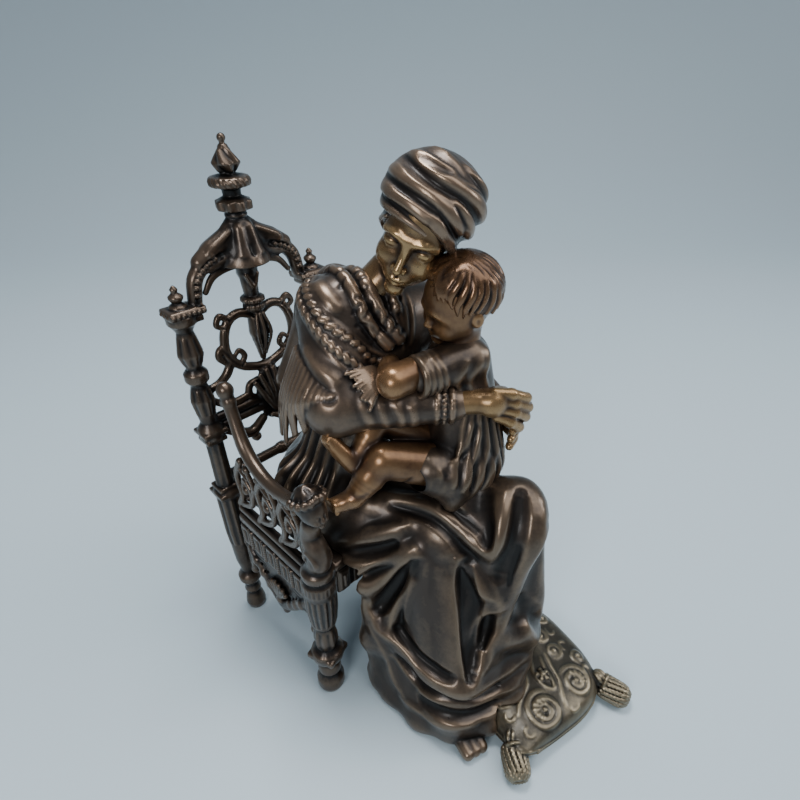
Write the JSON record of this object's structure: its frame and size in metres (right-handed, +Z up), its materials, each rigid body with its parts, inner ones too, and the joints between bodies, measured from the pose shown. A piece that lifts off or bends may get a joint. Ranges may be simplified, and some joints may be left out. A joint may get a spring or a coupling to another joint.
{
  "type": "enthroned mother and child statuette",
  "caption": "Bronze figure of a seated mother holding a child on a pierced, turned throne, with a tasselled foot cushion.",
  "frame": {"origin": "middle of the footprint's bounding box, on the surface that the statuette stands on", "axes": "+Z up; the throne faces -Y and the sitter's right hand is towards -X"},
  "size_m": [0.2164, 0.359, 0.4191],
  "materials": {
    "robe_bronze": "glossy dark brown bronze patina, worn golden on the crests",
    "throne_bronze": "satin near-black brown bronze patina",
    "cushion_bronze": "satin greenish gold-brown bronze patina, worn on the relief"
  },
  "bodies": {
    "root": {"figure_group": "robe_bronze", "throne_back": "throne_bronze", "throne_side_right": "throne_bronze", "throne_side_left": "throne_bronze", "throne_seat": "throne_bronze", "foot_cushion": "cushion_bronze"}
  },
  "joints": []
}
